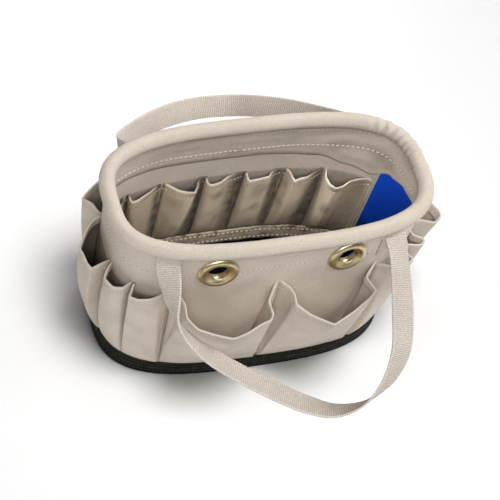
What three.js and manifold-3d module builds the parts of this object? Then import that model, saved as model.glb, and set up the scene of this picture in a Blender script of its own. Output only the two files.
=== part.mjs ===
// Oval canvas tool bucket bag with a rolled rim, brass grommets, webbing handles and pockets.
// Millimetres, +Z up. The origin is the middle of the base's underside; the front faces -Y.

import * as THREE from 'three';
import Module from 'manifold-3d';
import { mergeVertices } from 'three/addons/utils/BufferGeometryUtils.js';

const wasm = await Module();
wasm.setup();

// Driving dimensions
const OVAL_EXPONENT = 3.1;
const RIM_HALF_LENGTH = 170;
const RIM_HALF_WIDTH = 78;
const RIM_HEIGHT = 220;
const RIM_RADIUS = 8.5;
const BASE_HALF_LENGTH = 164.4;
const BASE_HALF_WIDTH = 88;
const BASE_HEIGHT = 22;
const BASE_DRAFT = 1;
const BASE_SKIN = 2.4;
const BASE_FLOOR = 3;
const CANVAS = 2;
const POCKET_CANVAS = 1.6;
const LINING = 1.4;
const LINER_THICKNESS = 1.5;
const PANEL_CLOTH = 1;
const GAP = 0.3;
const FRONT_POCKET_TOP = 157;
const END_POCKET_TOP = 150;
const INNER_POCKET_TOP = 135;
const HEM_LOWER_EDGE = 163;
const BINDING_TOP = 24.5;
const GROMMET_RADIUS = 22;
const GROMMET_BORE = 10.6;
const GROMMET_ALONG = 70;
const GROMMET_HEIGHT = 186;
const WEBBING_WIDTH = 25.4;
const WEBBING_THICKNESS = 2.2;
const HANDLE_ALONG = 123;

// Facet counts
const AROUND = 60;
const RIM_SIDES = 10;
const GROMMET_SIDES = 24;
const HANDLE_STEPS = 40;
const LIP_SPANS = 2;
const OUTER_LEVELS = 4;
const INNER_LEVELS = 3;
const WALL_LEVELS = 3;
const HEM_LEVELS = 1;
const BINDING_SPANS = 24;
const PANEL_SPANS = 12;
const MERGE_DISTANCE = 1e-3;

const CANVAS_COLOUR = 0xcdc3b4;
const canvasFinish = { color: CANVAS_COLOUR, roughness: 0.95, metalness: 0 };
const webbingFinish = { color: 0xd8cec0, roughness: 0.9, metalness: 0 };
const baseFinish = { color: 0x262821, roughness: 0.6, metalness: 0 };
const brassFinish = { color: 0xc2a95e, roughness: 0.25, metalness: 1 };
const blueFinish = { color: 0x1b3a9c, roughness: 0.8, metalness: 0 };
const floorFinish = { color: 0x14161c, roughness: 0.7, metalness: 0 };

// Oval girth at mid height: places round the bag are millimetres along it from the front middle,
// positive towards +X.
const GIRTH_HALF_LENGTH = (RIM_HALF_LENGTH + BASE_HALF_LENGTH - BASE_DRAFT) / 2;
const GIRTH_HALF_WIDTH = (RIM_HALF_WIDTH + BASE_HALF_WIDTH - BASE_DRAFT) / 2;
const GIRTH_STEPS = 1440;

function power(value, exponent) {
  return Math.sign(value) * Math.abs(value) ** exponent;
}

function ovalPoint(halfLength, halfWidth, angle) {
  const x = halfLength * power(Math.cos(angle), 2 / OVAL_EXPONENT);
  const y = halfWidth * power(Math.sin(angle), 2 / OVAL_EXPONENT);
  return new THREE.Vector2(x, y);
}

function ovalNormal(halfLength, halfWidth, point) {
  const x = power(point.x / halfLength, OVAL_EXPONENT - 1) / halfLength;
  const y = power(point.y / halfWidth, OVAL_EXPONENT - 1) / halfWidth;
  return new THREE.Vector2(x, y).normalize();
}

const girth = [0];
for (let step = 1; step <= GIRTH_STEPS; step += 1) {
  const before = ovalPoint(GIRTH_HALF_LENGTH, GIRTH_HALF_WIDTH, girthAngle(step - 1));
  const after = ovalPoint(GIRTH_HALF_LENGTH, GIRTH_HALF_WIDTH, girthAngle(step));
  girth.push(girth[step - 1] + before.distanceTo(after));
}
const GIRTH = girth[GIRTH_STEPS];
const BACK = GIRTH / 2;

function girthAngle(step) {
  return -Math.PI / 2 + (2 * Math.PI * step) / GIRTH_STEPS;
}

function angleAt(along) {
  const wanted = ((along % GIRTH) + GIRTH) % GIRTH;
  let step = 1;
  while (girth[step] < wanted) {
    step += 1;
  }
  const part = (wanted - girth[step - 1]) / (girth[step] - girth[step - 1]);
  return girthAngle(step - 1 + part);
}

function lerp(from, to, part) {
  return from + (to - from) * part;
}

// Outer face of the canvas wall at a height, and a point that stands out from it
function wallHalfSizes(height) {
  const part = (height - BASE_HEIGHT) / (RIM_HEIGHT - BASE_HEIGHT);
  const inset = BASE_DRAFT + BASE_SKIN + GAP;
  const halfLength = lerp(BASE_HALF_LENGTH - inset, RIM_HALF_LENGTH + CANVAS / 2, part);
  const halfWidth = lerp(BASE_HALF_WIDTH - inset, RIM_HALF_WIDTH + CANVAS / 2, part);
  return { halfLength, halfWidth };
}

function wallNormal(along, height) {
  const { halfLength, halfWidth } = wallHalfSizes(height);
  const point = ovalPoint(halfLength, halfWidth, angleAt(along));
  const normal = ovalNormal(halfLength, halfWidth, point);
  return new THREE.Vector3(normal.x, normal.y, 0);
}

function wallPoint(along, height, out) {
  const { halfLength, halfWidth } = wallHalfSizes(height);
  const point = ovalPoint(halfLength, halfWidth, angleAt(along));
  const normal = ovalNormal(halfLength, halfWidth, point);
  return new THREE.Vector3(point.x + normal.x * out, point.y + normal.y * out, height);
}

// Mesh helpers: every solid is closed and its faces point out
function signedVolume(positions, index) {
  const a = new THREE.Vector3();
  const b = new THREE.Vector3();
  const c = new THREE.Vector3();
  let volume = 0;
  for (let i = 0; i < index.length; i += 3) {
    a.fromArray(positions, index[i] * 3);
    b.fromArray(positions, index[i + 1] * 3);
    c.fromArray(positions, index[i + 2] * 3);
    volume += a.dot(b.cross(c)) / 6;
  }
  return volume;
}

function closeGeometry(geometry) {
  geometry.deleteAttribute('normal');
  geometry.deleteAttribute('uv');
  const merged = mergeVertices(geometry, MERGE_DISTANCE);
  const source = merged.index.array;
  const index = [];
  for (let i = 0; i < source.length; i += 3) {
    const [a, b, c] = source.slice(i, i + 3);
    if (a !== b && b !== c && c !== a) {
      index.push(a, b, c);
    }
  }
  const positions = merged.attributes.position.array;
  if (signedVolume(positions, index) < 0) {
    index.reverse();
  }
  merged.setIndex(index);
  return merged;
}

function fromTriangles(points, triangles) {
  const geometry = new THREE.BufferGeometry().setFromPoints(points);
  geometry.setIndex(triangles);
  return closeGeometry(geometry);
}

// Joins rings of points into one skin. An open run of rings is capped by rungs between the
// first half of a ring and its second half taken backwards.
function skin(rings, closed) {
  const size = rings[0].length;
  const points = rings.flat();
  const triangles = [];
  const spans = closed ? rings.length : rings.length - 1;
  for (let i = 0; i < spans; i += 1) {
    const here = i * size;
    const next = ((i + 1) % rings.length) * size;
    for (let j = 0; j < size; j += 1) {
      const k = (j + 1) % size;
      triangles.push(here + j, next + j, next + k, here + j, next + k, here + k);
    }
  }
  if (!closed) {
    const last = (rings.length - 1) * size;
    for (let j = 0; j + 1 < size / 2; j += 1) {
      const k = size - 1 - j;
      triangles.push(j, j + 1, k - 1, j, k - 1, k);
      triangles.push(last + j, last + k - 1, last + j + 1, last + j, last + k, last + k - 1);
    }
  }
  return fromTriangles(points, triangles);
}

function toSolid(geometry) {
  return new wasm.Manifold(new wasm.Mesh({
    numProp: 3,
    vertProperties: new Float32Array(geometry.attributes.position.array),
    triVerts: new Uint32Array(geometry.index.array),
  }));
}

function cut(geometry, cutters) {
  let solid = toSolid(geometry);
  for (const cutter of cutters) {
    solid = solid.subtract(toSolid(cutter));
  }
  const mesh = solid.getMesh();
  const result = new THREE.BufferGeometry();
  result.setAttribute('position', new THREE.BufferAttribute(mesh.vertProperties, 3));
  result.setIndex([...mesh.triVerts]);
  return result;
}

const bag = new THREE.Group();

function addPiece(name, geometry, finish) {
  geometry.computeVertexNormals();
  const mesh = new THREE.Mesh(geometry, new THREE.MeshStandardMaterial(finish));
  mesh.name = name;
  bag.add(mesh);
  return mesh;
}

// Places round the whole oval, closer together in the corners
function aroundAngles() {
  return Array.from({ length: AROUND }, (_, i) => (2 * Math.PI * i) / AROUND);
}

function ovalRing(halfLength, halfWidth, height, angle) {
  const point = ovalPoint(halfLength, halfWidth, angle);
  return new THREE.Vector3(point.x, point.y, height);
}

// Solid of oval rows [half length, half width, height], from the middle below to the middle above
function ovalSolid(rows) {
  const rings = aroundAngles().map((angle) => (
    rows.map(([halfLength, halfWidth, height]) => ovalRing(halfLength, halfWidth, height, angle))
  ));
  return skin(rings, true);
}

function baseTray() {
  const length = BASE_HALF_LENGTH;
  const width = BASE_HALF_WIDTH;
  const mouth = wallHalfSizes(BASE_HEIGHT);
  const well = wallHalfSizes(BASE_FLOOR);
  const step = BASE_HEIGHT / 2;
  const bevel = 1.5;
  return ovalSolid([
    [0, 0, 0],
    [length - bevel, width - bevel, 0],
    [length, width, bevel],
    [length - BASE_DRAFT / 2, width - BASE_DRAFT / 2, step],
    [length - BASE_DRAFT, width - BASE_DRAFT, BASE_HEIGHT],
    [mouth.halfLength + GAP, mouth.halfWidth + GAP, BASE_HEIGHT],
    [well.halfLength + GAP, well.halfWidth + GAP, BASE_FLOOR],
    [0, 0, BASE_FLOOR],
  ]);
}

const WALL_FOOT = BASE_FLOOR + GAP;
const WALL_TOP = RIM_HEIGHT - RIM_RADIUS - GAP;
const LINER_TOP = WALL_FOOT + LINER_THICKNESS;

function floorLiner() {
  const { halfLength, halfWidth } = wallHalfSizes(WALL_FOOT);
  const inset = CANVAS + GAP;
  return ovalSolid([
    [0, 0, WALL_FOOT],
    [halfLength - inset, halfWidth - inset, WALL_FOOT],
    [halfLength - inset, halfWidth - inset, LINER_TOP],
    [0, 0, LINER_TOP],
  ]);
}

// Band between two depths in from the wall's outer face, closed round the oval. The heights run
// from the lower edge, which may change along the wall, to the top.
function wallBand(outerDepth, innerDepth, lowerEdge, top, levels) {
  const rings = aroundAngles().map((angle) => {
    const low = lowerEdge(angle);
    const outer = [];
    const inner = [];
    for (let level = 0; level <= levels; level += 1) {
      const height = lerp(low, top, level / levels);
      const { halfLength, halfWidth } = wallHalfSizes(height);
      const point = ovalPoint(halfLength, halfWidth, angle);
      const normal = ovalNormal(halfLength, halfWidth, point);
      const shift = (depth) => new THREE.Vector3(
        point.x - normal.x * depth,
        point.y - normal.y * depth,
        height,
      );
      outer.push(shift(outerDepth));
      inner.unshift(shift(innerDepth));
    }
    return [...outer, ...inner];
  });
  return skin(rings, true);
}

// Lower edge of the hem band: [angle round the oval in degrees from +X, height]. It rises at the
// right end, above the end panel.
const hemEdge = [
  [-90, HEM_LOWER_EDGE],
  [-40, 176],
  [-8, 178],
  [14, 164],
  [35, 150],
  [55, 151],
  [75, 160],
  [120, HEM_LOWER_EDGE],
  [270, HEM_LOWER_EDGE],
];

function hemHeight(angle) {
  const turn = ((((angle * 180) / Math.PI + 90) % 360) + 360) % 360 - 90;
  let row = 1;
  while (hemEdge[row][0] < turn) {
    row += 1;
  }
  const [fromTurn, fromHeight] = hemEdge[row - 1];
  const [toTurn, toHeight] = hemEdge[row];
  const part = (turn - fromTurn) / (toTurn - fromTurn);
  const eased = part * part * (3 - 2 * part);
  return lerp(fromHeight, toHeight, eased);
}

function rimRoll() {
  const rings = aroundAngles().map((angle) => {
    const centre = ovalPoint(RIM_HALF_LENGTH, RIM_HALF_WIDTH, angle);
    const normal = ovalNormal(RIM_HALF_LENGTH, RIM_HALF_WIDTH, centre);
    return Array.from({ length: RIM_SIDES }, (_, side) => {
      const turn = (2 * Math.PI * (side + 0.5)) / RIM_SIDES;
      const out = RIM_RADIUS * Math.cos(turn);
      const up = RIM_RADIUS * Math.sin(turn);
      return new THREE.Vector3(
        centre.x + normal.x * out,
        centre.y + normal.y * out,
        RIM_HEIGHT + up,
      );
    });
  });
  return skin(rings, true);
}

// Grommet: flange on the front of the wall, barrel through it, washer behind the hem band
const BARREL_WALL = 1.2;
const GROMMET_BARREL = GROMMET_BORE + BARREL_WALL;
const WALL_HOLE = GROMMET_BARREL + GAP;
const HEM_DEPTH = CANVAS + GAP + LINING;
const WASHER_RADIUS = 17;
const WASHER_THICKNESS = 1.4;
const CURVE_CLEARANCE = 0.8;

function grommetProfile() {
  const crown = 4;
  const flangeBack = GAP;
  const washerFront = -HEM_DEPTH - CURVE_CLEARANCE;
  const washerBack = washerFront - WASHER_THICKNESS;
  return [
    [GROMMET_BORE, washerBack],
    [GROMMET_BORE, crown - 1.8],
    [GROMMET_BORE + 1.2, crown - 0.4],
    [GROMMET_BORE + 3.5, crown],
    [GROMMET_BORE + 6.5, crown - 0.6],
    [GROMMET_RADIUS - 2, flangeBack + 1.6],
    [GROMMET_RADIUS, flangeBack + 0.5],
    [GROMMET_RADIUS - 0.4, flangeBack],
    [GROMMET_BARREL, flangeBack],
    [GROMMET_BARREL, washerFront],
    [WASHER_RADIUS, washerFront],
    [WASHER_RADIUS, washerBack],
    [GROMMET_BORE, washerBack],
  ].map(([radius, out]) => new THREE.Vector2(radius, out));
}

// Turns a shape whose axis is +Y to stand out of the wall at a place
function placeOnWall(object, along, height) {
  const below = wallPoint(along, height - 1, 0);
  const above = wallPoint(along, height + 1, 0);
  const upward = above.sub(below).normalize();
  const level = wallNormal(along, height);
  const axis = level.addScaledVector(upward, -level.dot(upward)).normalize();
  object.quaternion.setFromUnitVectors(new THREE.Vector3(0, 1, 0), axis);
  object.position.copy(wallPoint(along, height, 0));
  object.updateMatrixWorld(true);
}

function wallHole(along) {
  const drill = new THREE.Object3D();
  placeOnWall(drill, along, GROMMET_HEIGHT);
  const drillLength = 40;
  const shape = new THREE.CylinderGeometry(WALL_HOLE, WALL_HOLE, drillLength, GROMMET_SIDES);
  return closeGeometry(shape).applyMatrix4(drill.matrixWorld);
}

// Pocket panels. Each lip row is [along, out, foot along]: where the lip stands, how far out of
// the wall, and where the same upright thread is sewn at the foot. Stiff canvas keeps its height,
// so a lip that leans out also comes down.
const SEAM_SHARE = 0.2;
const NEAR = GAP + 0.1;

// Panel as columns of places [along, out, height], from the foot to the lip
function panelColumns(lipRows, footHeight, top, thickness, levels) {
  const panelHeight = top - footHeight;
  const footOut = NEAR + thickness;
  const curve = new THREE.CatmullRomCurve3(
    lipRows.map((row) => new THREE.Vector3(...row)),
    false,
    'centripetal',
  );
  return curve.getPoints((lipRows.length - 1) * LIP_SPANS).map((row) => {
    const lipOut = Math.max(row.y, NEAR);
    const lipHeight = footHeight + Math.sqrt(panelHeight ** 2 - lipOut ** 2);
    return Array.from({ length: levels + 1 }, (_, level) => {
      const part = level / levels;
      return new THREE.Vector3(
        lerp(row.z, row.x, part),
        lerp(footOut, lipOut, part),
        lerp(footHeight, lipHeight, part),
      );
    });
  });
}

// Solid panel of one thickness, which goes to the pocket's inside; at the two seams it goes along
// the wall. The place function turns [along, out, height] into a point.
function pocketPanel(lipRows, footHeight, top, thickness, levels, place) {
  const columns = panelColumns(lipRows, footHeight, top, thickness, levels);
  const last = columns.length - 1;
  const rings = columns.map((column, i) => {
    const before = columns[Math.max(i - 1, 0)];
    const after = columns[Math.min(i + 1, last)];
    const inner = column.map((spot, j) => {
      const across = after[j].clone().sub(before[j]);
      const up = column[Math.min(j + 1, levels)].clone().sub(column[Math.max(j - 1, 0)]);
      const inward = across.cross(up).setLength(thickness);
      if (j > 0 && i === 0) {
        inward.set(thickness, 0, 0);
      }
      if (j > 0 && i === last) {
        inward.set(-thickness, 0, 0);
      }
      const result = spot.clone().add(inward);
      result.y = Math.max(result.y, NEAR);
      return result;
    });
    return [...column, ...inner.reverse()].map((point) => place(point.x, point.y, point.z));
  });
  return skin(rings, false);
}

// Mirrors a row of lips from the left end to the right
function mirrored(lipRows) {
  return lipRows.map(([along, out, foot]) => [-along, out, -foot]).reverse();
}

const FRONT_SEAM = 113;
const END_SEAM_1 = 155;
const END_SEAM_2 = 190;
const END_SEAM_3 = 250;
const BACK_SEAM = 316;

// Lip rows: [along, out, foot along]
const frontLeftLip = [
  [-FRONT_SEAM + SEAM_SHARE, NEAR, -FRONT_SEAM + SEAM_SHARE],
  [-103, 17, -112],
  [-101.5, 33, -111],
  [-92, 45, -101],
  [-80, 49.5, -88],
  [-59, 55.5, -62],
  [-45, 53.5, -46],
  [-34, 49, -30],
  [-18, 41, -8],
  [-14.5, 35, -4],
  [-14.5, 21, -2.5],
  [-5, 6, -1],
  [-SEAM_SHARE, NEAR, -SEAM_SHARE],
];
const frontRightLip = [
  [SEAM_SHARE, NEAR, SEAM_SHARE],
  [9, 9, 1],
  [11.5, 18.5, 2],
  [10.5, 28.5, 3],
  [23, 42, 14],
  [46.5, 55, 50],
  [52, 53, 58],
  [69, 46.5, 78],
  [90, 36, 100],
  [98, 30, 109],
  [95, 13, 111],
  [FRONT_SEAM - SEAM_SHARE, NEAR, FRONT_SEAM - SEAM_SHARE],
];
const left1Lip = [
  [-END_SEAM_1 + SEAM_SHARE, NEAR, -END_SEAM_1 + SEAM_SHARE],
  [-153.6, 9, -154.4],
  [-152, 18, -154],
  [-147, 19, -150],
  [-134, 15, -134],
  [-129, 11, -118],
  [-124, 6, -115],
  [-FRONT_SEAM - SEAM_SHARE, NEAR, -FRONT_SEAM - SEAM_SHARE],
];
const left2Lip = [
  [-END_SEAM_2 + SEAM_SHARE, NEAR, -END_SEAM_2 + SEAM_SHARE],
  [-184, 8, -189],
  [-177, 18, -187],
  [-167, 19, -173],
  [-159, 12, -159],
  [-157.5, 6.5, -156.5],
  [-END_SEAM_1 - SEAM_SHARE, NEAR, -END_SEAM_1 - SEAM_SHARE],
];
const left3Lip = [
  [-END_SEAM_3 + SEAM_SHARE, NEAR, -END_SEAM_3 + SEAM_SHARE],
  [-243, 8, -248],
  [-228, 19, -238],
  [-213, 28, -219],
  [-205, 26.5, -207],
  [-194, 25.5, -195],
  [-188, 23, -192],
  [-189.3, 8.5, -191],
  [-END_SEAM_2 - SEAM_SHARE, NEAR, -END_SEAM_2 - SEAM_SHARE],
];
const left4Lip = [
  [-BACK_SEAM + SEAM_SHARE, NEAR, -BACK_SEAM + SEAM_SHARE],
  [-302, 13, -309],
  [-285, 23, -291],
  [-275, 23, -278],
  [-263, 24, -264],
  [-260, 12, -253],
  [-254, 5, -251],
  [-END_SEAM_3 - SEAM_SHARE, NEAR, -END_SEAM_3 - SEAM_SHARE],
];
const right2Lip = [
  [END_SEAM_1 + SEAM_SHARE, NEAR, END_SEAM_1 + SEAM_SHARE],
  [161.5, 4.5, 158],
  [168, 18, 165],
  [172.5, 21, 170],
  [176, 19, 174],
  [177, 7, 179],
  [END_SEAM_2 - SEAM_SHARE, NEAR, END_SEAM_2 - SEAM_SHARE],
];
const right3Lip = [
  [END_SEAM_2 + SEAM_SHARE, NEAR, END_SEAM_2 + SEAM_SHARE],
  [193.5, 16, 191],
  [193, 34, 192.5],
  [200.5, 45.5, 198],
  [207, 46.5, 206],
  [217, 38.5, 222],
  [232, 20, 240],
  [END_SEAM_3 - SEAM_SHARE, NEAR, END_SEAM_3 - SEAM_SHARE],
];
const backRightLip = [
  [BACK_SEAM + SEAM_SHARE, NEAR, BACK_SEAM + SEAM_SHARE],
  [326, 17, 319],
  [342, 29, 336],
  [370, 34, 370],
  [398, 29, 404],
  [414, 17, 421],
  [BACK - SEAM_SHARE, NEAR, BACK - SEAM_SHARE],
];

const outerPockets = {
  front_pocket_left: [frontLeftLip, FRONT_POCKET_TOP],
  front_pocket_right: [frontRightLip, FRONT_POCKET_TOP],
  left_pocket_1: [left1Lip, END_POCKET_TOP],
  left_pocket_2: [left2Lip, END_POCKET_TOP],
  left_pocket_3: [left3Lip, END_POCKET_TOP],
  left_pocket_4: [left4Lip, END_POCKET_TOP],
  right_pocket_1: [mirrored(left1Lip), END_POCKET_TOP],
  right_pocket_2: [right2Lip, END_POCKET_TOP],
  right_pocket_3: [right3Lip, END_POCKET_TOP],
  right_pocket_4: [mirrored(left4Lip), END_POCKET_TOP],
  back_pocket_left: [mirrored(backRightLip), FRONT_POCKET_TOP],
  back_pocket_right: [backRightLip, FRONT_POCKET_TOP],
};

// Inside pockets, counted from the left end. Lip rows: [along from the back middle, in, foot along].
// Each lip leaves its left seam steeply and slopes back to the right one.
const INNER_SEAMS = [-214, -170, -126, -83, -33, 13, 58, 106, 166];
const innerLips = [
  [[-212, 7, -212], [-203, 11, -204], [-187, 7, -187]],
  [[-168, 7, -168], [-158, 11.5, -159], [-142, 9, -142]],
  [[-125.5, 10, -125], [-118, 12, -117], [-107, 9, -106], [-95, 4.5, -94]],
  [[-72, 10, -77], [-61, 18, -63], [-51, 21, -48], [-44, 17, -38]],
  [[-32.5, 9, -32], [-23, 13.5, -22], [-6, 8, -6]],
  [[14, 9, 14], [25, 13, 25], [42, 4, 42]],
  [[60, 10, 60], [66, 17.5, 65], [87, 11, 84]],
  [[105, 15, 107.5], [107, 24, 109], [117, 28, 116], [138, 17, 138], [153, 8, 153], [160, 1.5, 160]],
];

function innerLip(number) {
  const from = INNER_SEAMS[number] + SEAM_SHARE;
  const to = INNER_SEAMS[number + 1] - SEAM_SHARE;
  return [[from, NEAR, from], ...innerLips[number], [to, NEAR, to]];
}

// Flat strip on the inner face of the wall, between two depths
function wallStrip(fromAlong, toAlong, spans, lowHeight, topHeight, depth, thickness) {
  const rings = Array.from({ length: spans + 1 }, (_, span) => {
    const along = lerp(fromAlong, toAlong, span / spans);
    const top = topHeight(along);
    const middle = (lowHeight + top) / 2;
    const heights = [lowHeight, middle, top];
    const back = heights.map((height) => wallPoint(along, height, -depth));
    const front = heights.map((height) => wallPoint(along, height, -depth - thickness));
    return [...back, ...front.reverse()];
  });
  return skin(rings, false);
}

// Webbing handles. Stations: centre [x, y, z], then the direction across the webbing [x, y, z].
const frontHandleStations = [
  [-124, -88, 183, 0.6, -0.7, 0.4],
  [-121, -110, 160, 0, -0.87, 0.5],
  [-105, -133, 144, -0.33, -0.86, 0.38],
  [-76, -146, 121, -0.47, -0.86, 0.22],
  [-45, -161, 105, -0.48, -0.86, 0.18],
  [-15, -176, 93, -0.44, -0.89, 0.12],
  [13, -190, 85, -0.38, -0.9, 0.2],
  [43, -202, 83, -0.35, -0.83, 0.45],
  [72, -205, 95, -0.44, -0.58, 0.68],
  [95, -196, 118, -0.7, -0.25, 0.67],
  [111, -175, 141, -0.89, 0.02, 0.45],
  [119, -144, 158, -0.97, 0.05, 0.23],
  [123, -114, 175, -0.96, -0.13, 0.24],
  [124, -87, 193, -0.93, -0.3, 0.2],
];
const backHandleStations = [
  [-131, 92, 178, 0.45, 0.75, 0.48],
  [-120, 123, 149, -0.12, 0.71, 0.7],
  [-97, 149, 132, -0.12, 0.63, 0.76],
  [-69, 172, 117, -0.07, 0.62, 0.78],
  [-38, 191, 104, -0.1, 0.7, 0.71],
  [-2, 203, 95, -0.06, 0.82, 0.57],
  [35, 203, 94, 0.13, 0.88, 0.45],
  [66, 187, 108, 0.3, 0.86, 0.4],
  [94, 165, 123, 0.36, 0.78, 0.5],
  [118, 139, 139, 0.3, 0.7, 0.62],
  [129, 111, 163, 0.02, 0.7, 0.71],
  [128, 88, 188, -0.55, 0.68, 0.48],
];

// The ends are sewn flat on the wall, just under the rim
const SEWN_GAP = 3 * GAP;
const SEWN_TOP = WALL_TOP - 1;
const SEWN_LOW = WALL_TOP - 10;

function sewnEnd(along, height, direction) {
  const centre = wallPoint(along, height, WEBBING_THICKNESS / 2 + SEWN_GAP);
  const normal = wallNormal(along, height);
  const across = new THREE.Vector3(-normal.y, normal.x, 0).multiplyScalar(direction);
  return { centre, across };
}

function handle(stations, fromAlong, toAlong) {
  const facing = Math.sign(stations[0][1]);
  const rows = stations.map(([x, y, z, acrossX, acrossY, acrossZ]) => ({
    centre: new THREE.Vector3(x, y, z),
    across: new THREE.Vector3(acrossX, acrossY, acrossZ),
  }));
  rows.unshift(sewnEnd(fromAlong, SEWN_TOP, -facing), sewnEnd(fromAlong, SEWN_LOW, -facing));
  rows.push(sewnEnd(toAlong, SEWN_LOW, facing), sewnEnd(toAlong, SEWN_TOP, facing));
  const centres = new THREE.CatmullRomCurve3(rows.map((row) => row.centre), false, 'centripetal');
  const acrosses = new THREE.CatmullRomCurve3(rows.map((row) => row.across));
  const rings = Array.from({ length: HANDLE_STEPS + 1 }, (_, step) => {
    const part = step / HANDLE_STEPS;
    const centre = centres.getPoint(part);
    const tangent = centres.getTangent(part);
    const across = acrosses.getPoint(part);
    across.addScaledVector(tangent, -across.dot(tangent)).setLength(WEBBING_WIDTH / 2);
    const through = tangent.cross(across).setLength(WEBBING_THICKNESS / 2);
    const corner = (side, face) => (
      centre.clone().addScaledVector(across, side).addScaledVector(through, face)
    );
    return [corner(-1, 1), corner(1, 1), corner(1, -1), corner(-1, -1)];
  });
  return skin(rings, false);
}

// Assembly
addPiece('base_tray', baseTray(), baseFinish);
addPiece('floor_liner', floorLiner(), floorFinish);

const holes = [-GROMMET_ALONG, GROMMET_ALONG].map(wallHole);
const wall = wallBand(0, CANVAS, () => WALL_FOOT, WALL_TOP, WALL_LEVELS);
addPiece('body_wall', cut(wall, holes), canvasFinish);
const hem = wallBand(CANVAS + GAP, HEM_DEPTH, hemHeight, WALL_TOP, HEM_LEVELS);
addPiece('hem_band', cut(hem, holes), canvasFinish);
addPiece('rim_roll', rimRoll(), canvasFinish);

for (const [name, along] of [['grommet_left', -GROMMET_ALONG], ['grommet_right', GROMMET_ALONG]]) {
  const ring = closeGeometry(new THREE.LatheGeometry(grommetProfile(), GROMMET_SIDES));
  placeOnWall(addPiece(name, ring, brassFinish), along, GROMMET_HEIGHT);
}

const footHeight = BASE_HEIGHT + GAP;
const outside = (along, out, height) => wallPoint(along, height, out);
for (const [name, [lipRows, top]] of Object.entries(outerPockets)) {
  const panel = pocketPanel(lipRows, footHeight, top, POCKET_CANVAS, OUTER_LEVELS, outside);
  addPiece(name, panel, canvasFinish);
}

const innerFoot = BINDING_TOP + GAP;
const inside = (along, out, height) => wallPoint(BACK - along, height, -CANVAS - out);
for (let number = 0; number < innerLips.length; number += 1) {
  const lipRows = innerLip(number);
  const panel = pocketPanel(lipRows, innerFoot, INNER_POCKET_TOP, LINING, INNER_LEVELS, inside);
  addPiece(`inner_pocket_${number + 1}`, panel, canvasFinish);
}

const bindingFrom = BACK - INNER_SEAMS[INNER_SEAMS.length - 1];
const bindingTo = BACK - INNER_SEAMS[0];
const bindingDepth = CANVAS + GAP;
const bindingFoot = LINER_TOP + GAP;
const binding = wallStrip(
  bindingFrom,
  bindingTo,
  BINDING_SPANS,
  bindingFoot,
  () => BINDING_TOP,
  bindingDepth,
  LINING,
);
addPiece('inner_binding', binding, canvasFinish);

const PANEL_FROM = 172;
const PANEL_TO = 261;
const PANEL_DROP = 5 * GAP;
const endPanel = wallStrip(
  PANEL_FROM,
  PANEL_TO,
  PANEL_SPANS,
  bindingFoot,
  (along) => hemHeight(angleAt(along)) - PANEL_DROP,
  bindingDepth,
  PANEL_CLOTH,
);
addPiece('blue_end_panel', endPanel, blueFinish);

addPiece('handle_front', handle(frontHandleStations, -HANDLE_ALONG, HANDLE_ALONG), webbingFinish);
const backFrom = -(BACK - HANDLE_ALONG);
addPiece('handle_back', handle(backHandleStations, backFrom, -backFrom), webbingFinish);

export default bag;
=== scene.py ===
import bisect
import bmesh
import bpy
from math import atan2, copysign, cos, degrees, dist, exp, pi, radians, sin, sqrt
from mathutils import Matrix, Vector, noise


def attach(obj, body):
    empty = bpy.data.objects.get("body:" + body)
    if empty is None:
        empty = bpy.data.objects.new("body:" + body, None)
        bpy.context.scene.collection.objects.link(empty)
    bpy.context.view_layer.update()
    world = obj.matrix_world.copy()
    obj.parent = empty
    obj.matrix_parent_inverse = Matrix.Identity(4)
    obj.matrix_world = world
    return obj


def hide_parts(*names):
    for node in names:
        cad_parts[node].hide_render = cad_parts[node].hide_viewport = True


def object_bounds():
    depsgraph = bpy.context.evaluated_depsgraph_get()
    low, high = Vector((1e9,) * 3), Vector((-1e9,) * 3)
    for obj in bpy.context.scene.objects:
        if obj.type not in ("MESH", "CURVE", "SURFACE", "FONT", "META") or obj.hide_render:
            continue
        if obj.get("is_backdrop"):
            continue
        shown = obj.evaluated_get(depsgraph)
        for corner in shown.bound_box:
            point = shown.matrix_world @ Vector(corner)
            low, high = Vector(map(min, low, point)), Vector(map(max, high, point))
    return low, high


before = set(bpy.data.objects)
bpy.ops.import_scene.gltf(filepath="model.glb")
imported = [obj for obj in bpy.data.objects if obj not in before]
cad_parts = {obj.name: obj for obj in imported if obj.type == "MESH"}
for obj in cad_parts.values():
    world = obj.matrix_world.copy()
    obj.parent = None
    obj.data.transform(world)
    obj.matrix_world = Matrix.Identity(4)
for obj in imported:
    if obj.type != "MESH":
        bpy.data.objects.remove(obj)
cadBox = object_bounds()
print("frame loaded:", len(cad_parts), "nodes")

mm = 0.001  # sizes below are in millimetres
tiny = 1e-6  # metres: points closer than this are one


def skyward(turn, rise):
    turn, rise = radians(turn), radians(rise)
    return Vector((sin(turn) * cos(rise), -cos(turn) * cos(rise), sin(rise)))


# camera first: the photo's angle
cameraLook = {
    "turn": -30.7,  # degrees round the bag, from the front
    "rise": 52.7,
    "tilt": 18.1,
    "aim": (0, 0, 120),
    "away": 2189,
    "lens": 146.3,
    "sensor": 36,
    "shift": (-0.002, -0.021),
    "reach": 20,  # metres
}


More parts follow.
